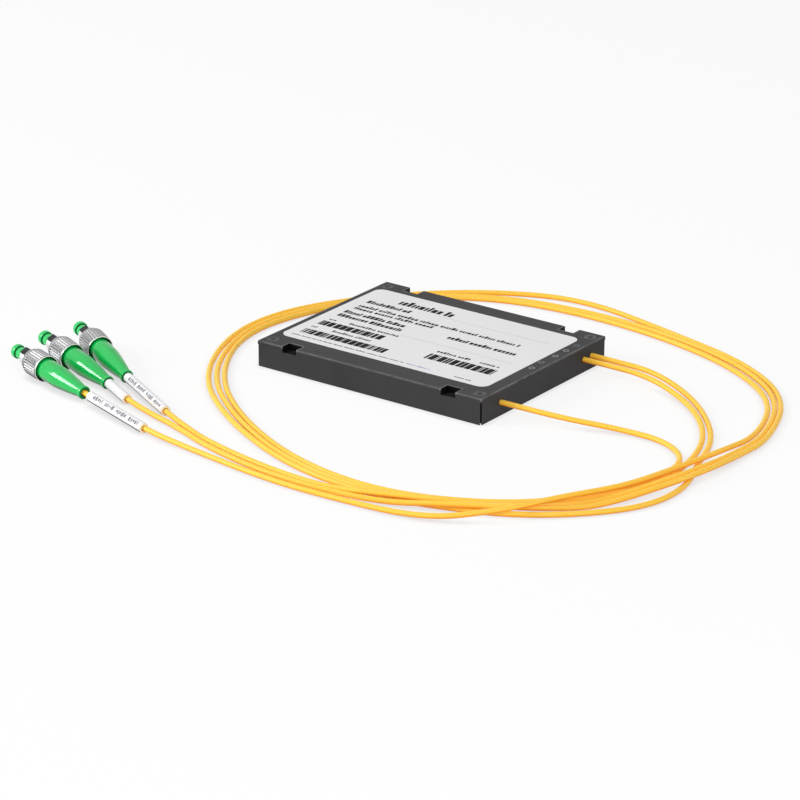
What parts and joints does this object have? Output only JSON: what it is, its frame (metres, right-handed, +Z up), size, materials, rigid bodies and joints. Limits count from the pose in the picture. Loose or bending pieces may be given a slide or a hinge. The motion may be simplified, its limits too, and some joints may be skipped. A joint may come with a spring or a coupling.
{
  "type": "fibre wavelength filter module",
  "caption": "Flat black fibre-optic wavelength filter box with side fixing notches, a white label and yellow cords that end in green-booted screw-on plugs with caps",
  "frame": {"origin": "bottom centre of the box", "axes": "+X towards the wall the cords leave, +Y to the rear long side, +Z up"},
  "size_m": [0.2623, 0.2142, 0.011],
  "materials": {
    "case_black": "fine moulded grain",
    "label_white": "printed, satin",
    "screw_black": "blackened",
    "device_steel": "drawn tube",
    "fibre_buffer": "smooth",
    "anchor_rubber": "soft",
    "boot_green": "satin, flexible",
    "crimp_metal": "crimped",
    "plug_nickel": "nickel plate",
    "key_black": "blackened",
    "ferrule_ceramic": "ground",
    "spring_steel": "drawn wire",
    "nut_nickel": "nickel plate, knurled",
    "cap_green": "soft, satin",
    "sleeve_white": "smooth",
    "cord_yellow": "smooth jacket"
  },
  "bodies": {
    "module": {"base_tray": "case_black", "lid": "case_black", "top_label": "label_white", "lid_screws": "screw_black", "filter_tube": "device_steel", "fibre_coil": "fibre_buffer", "fibre_leads": "fibre_buffer", "cord_anchors": "anchor_rubber", "boot_front": "boot_green", "crimp_sleeve_front": "crimp_metal", "rear_body_front": "plug_nickel", "plug_body_front": "plug_nickel", "locating_key_front": "key_black", "ferrule_spring_front": "spring_steel", "marker_sleeve_front": "sleeve_white", "cord_front": "cord_yellow", "boot_middle": "boot_green", "crimp_sleeve_middle": "crimp_metal", "rear_body_middle": "plug_nickel", "plug_body_middle": "plug_nickel", "locating_key_middle": "key_black", "ferrule_spring_middle": "spring_steel", "marker_sleeve_middle": "sleeve_white", "cord_middle": "cord_yellow", "boot_rear": "boot_green", "crimp_sleeve_rear": "crimp_metal", "rear_body_rear": "plug_nickel", "plug_body_rear": "plug_nickel", "locating_key_rear": "key_black", "ferrule_spring_rear": "spring_steel", "marker_sleeve_rear": "sleeve_white", "cord_rear": "cord_yellow"},
    "nut_front": {"coupling_nut_front": "nut_nickel"},
    "ferrule_front": {"ferrule_front": "ferrule_ceramic", "ferrule_flange_front": "plug_nickel"},
    "cap_front": {"dust_cap_front": "cap_green"},
    "nut_middle": {"coupling_nut_middle": "nut_nickel"},
    "ferrule_middle": {"ferrule_middle": "ferrule_ceramic", "ferrule_flange_middle": "plug_nickel"},
    "cap_middle": {"dust_cap_middle": "cap_green"},
    "nut_rear": {"coupling_nut_rear": "nut_nickel"},
    "ferrule_rear": {"ferrule_rear": "ferrule_ceramic", "ferrule_flange_rear": "plug_nickel"},
    "cap_rear": {"dust_cap_rear": "cap_green"}
  },
  "joints": [
    {"name": "nut_turn_front", "type": "hinge", "parent": "module", "child": "nut_front", "pos_m": [-0.10513, -0.09807, 0.00542], "axis": [-0.9612, 0.2667, 0.0703], "continuous": true},
    {"name": "ferrule_press_front", "type": "slide", "parent": "module", "child": "ferrule_front", "axis": [-0.9612, 0.2667, 0.0703], "range_m": [-0.0008, 0], "stiffness_N_per_m": 300, "springref_m": 0.0005, "deforming": ["ferrule_spring_front"]},
    {"name": "cap_pull_front", "type": "slide", "parent": "ferrule_front", "child": "cap_front", "axis": [-0.9612, 0.2667, 0.0703], "range_m": [0, 0.012]},
    {"name": "nut_turn_middle", "type": "hinge", "parent": "module", "child": "nut_middle", "pos_m": [-0.10572, -0.08294, 0.00555], "axis": [-0.949, 0.2985, 0.1018], "continuous": true},
    {"name": "ferrule_press_middle", "type": "slide", "parent": "module", "child": "ferrule_middle", "axis": [-0.949, 0.2985, 0.1018], "range_m": [-0.0008, 0], "stiffness_N_per_m": 300, "springref_m": 0.0005, "deforming": ["ferrule_spring_middle"]},
    {"name": "cap_pull_middle", "type": "slide", "parent": "ferrule_middle", "child": "cap_middle", "axis": [-0.949, 0.2985, 0.1018], "range_m": [0, 0.012]},
    {"name": "nut_turn_rear", "type": "hinge", "parent": "module", "child": "nut_rear", "pos_m": [-0.10245, -0.06996, 0.0056], "axis": [-0.8908, 0.4424, 0.1035], "continuous": true},
    {"name": "ferrule_press_rear", "type": "slide", "parent": "module", "child": "ferrule_rear", "axis": [-0.8908, 0.4424, 0.1035], "range_m": [-0.0008, 0], "stiffness_N_per_m": 300, "springref_m": 0.0005, "deforming": ["ferrule_spring_rear"]},
    {"name": "cap_pull_rear", "type": "slide", "parent": "ferrule_rear", "child": "cap_rear", "axis": [-0.8908, 0.4424, 0.1035], "range_m": [0, 0.012]}
  ]
}
